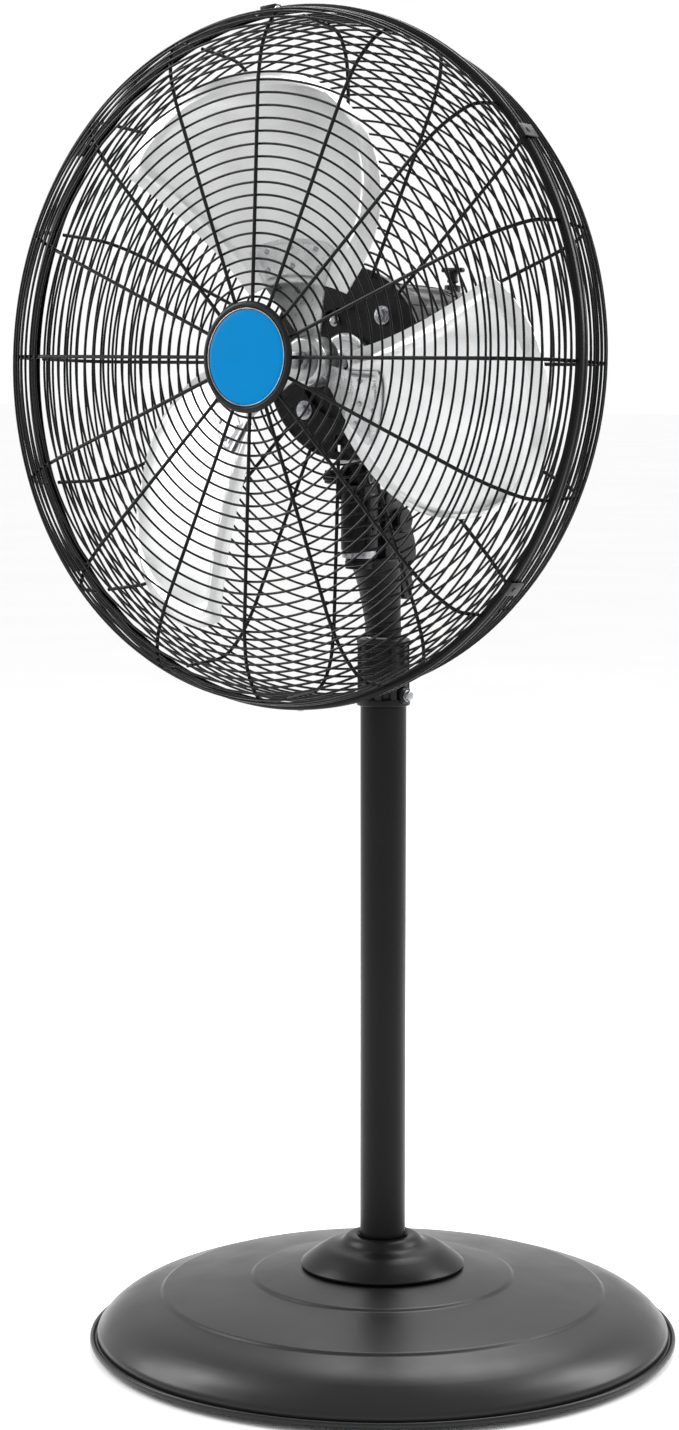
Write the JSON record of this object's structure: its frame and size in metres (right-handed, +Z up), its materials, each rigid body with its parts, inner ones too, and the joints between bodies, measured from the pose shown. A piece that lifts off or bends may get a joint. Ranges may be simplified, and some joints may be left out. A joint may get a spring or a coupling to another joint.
{
  "type": "pedestal fan",
  "caption": "Floor-standing pedestal fan with a domed round base, a telescopic pole, and a tilting, oscillating head in a round wire guard.",
  "frame": {"origin": "on the floor, under the middle of the round base", "axes": "+Z up, the fan blows towards -Y, +X is to the right of someone who stands in front and faces the fan"},
  "size_m": [0.738, 0.66, 1.4751],
  "materials": {
    "powder_black": "satin powder coat",
    "casting_black": "black-painted alloy casting",
    "plastic_black": "fine-grained moulded plastic",
    "rubber_black": "matt",
    "blade_aluminium": "bare pressed sheet",
    "zinc_steel": "zinc-plated",
    "tube_steel": "ground",
    "ballast": "cast filler",
    "badge_blue": "gloss"
  },
  "bodies": {
    "base": {"base_cover": "powder_black", "base_weight": "ballast", "foot_pad_1": "rubber_black", "foot_pad_2": "rubber_black", "foot_pad_3": "rubber_black", "foot_pad_4": "rubber_black", "pole_flange": "powder_black", "outer_pole": "powder_black", "clamp_collar": "plastic_black"},
    "clamp_bolt_body": {"clamp_bolt": "zinc_steel"},
    "mast": {"inner_tube": "tube_steel", "stem": "casting_black", "pivot_washer": "zinc_steel", "thrust_ring": "casting_black", "switch_box": "plastic_black", "cable_gland": "plastic_black"},
    "speed_knob_body": {"speed_knob": "plastic_black"},
    "swivel": {"swivel_housing": "casting_black"},
    "head": {"neck_block": "blade_aluminium", "tilt_bolt": "zinc_steel", "motor_bell": "casting_black", "motor_casing": "casting_black", "gear_case": "casting_black", "bearing_boss": "blade_aluminium", "guard_plate": "casting_black", "guard_bolt_1": "zinc_steel", "guard_bolt_2": "zinc_steel", "guard_bolt_3": "zinc_steel", "guard_bolt_4": "zinc_steel", "motor_screw_1": "zinc_steel", "motor_screw_2": "zinc_steel", "motor_screw_3": "zinc_steel", "motor_screw_4": "zinc_steel", "rear_guard_face": "powder_black", "rear_guard_wall": "powder_black", "guard_band": "powder_black", "band_joint_plate": "powder_black", "band_joint_screw_1": "zinc_steel", "band_joint_screw_2": "zinc_steel", "guard_clip_1": "plastic_black", "guard_clip_2": "plastic_black", "guard_clip_3": "plastic_black", "guard_clip_4": "plastic_black", "front_guard_face": "powder_black", "front_guard_wall": "powder_black", "badge_bezel": "plastic_black", "badge_disc": "badge_blue"},
    "tilt_knob_body": {"tilt_knob": "plastic_black"},
    "oscillation_knob_body": {"oscillation_knob": "plastic_black"},
    "rotor": {"shaft": "tube_steel", "spider": "blade_aluminium", "blade_1": "blade_aluminium", "blade_2": "blade_aluminium", "blade_3": "blade_aluminium", "hub_nut": "zinc_steel"}
  },
  "joints": [
    {"name": "height_slide", "type": "slide", "parent": "base", "child": "mast", "axis": [0, 0, 1], "range_m": [0, 0.3]},
    {"name": "clamp_bolt_turn", "type": "hinge", "parent": "base", "child": "clamp_bolt_body", "pos_m": [0.03, 0, 0.734], "axis": [1, 0, 0], "range_deg": [-180, 180]},
    {"name": "speed_select", "type": "hinge", "parent": "mast", "child": "speed_knob_body", "pos_m": [0.02, 0.01, 0.926], "axis": [1, 0, 0], "range_deg": [0, 135]},
    {"name": "oscillation", "type": "hinge", "parent": "mast", "child": "swivel", "pos_m": [0, -0.0445, 0.93], "axis": [0, 0, 1], "range_deg": [-45, 45]},
    {"name": "head_tilt", "type": "hinge", "parent": "swivel", "child": "head", "pos_m": [0, -0.0445, 0.974], "axis": [-1, 0, 0], "range_deg": [-7, 25]},
    {"name": "tilt_knob_turn", "type": "hinge", "parent": "head", "child": "tilt_knob_body", "pos_m": [-0.038, -0.0445, 0.974], "axis": [1, 0, 0], "range_deg": [-180, 180]},
    {"name": "oscillation_pull", "type": "slide", "parent": "head", "child": "oscillation_knob_body", "axis": [0, 0.0446, 0.999], "range_m": [0, 0.008]},
    {"name": "rotor_spin", "type": "hinge", "parent": "head", "child": "rotor", "pos_m": [0, -0.16502, 1.1018], "axis": [0, -0.999, 0.0446], "continuous": true}
  ]
}
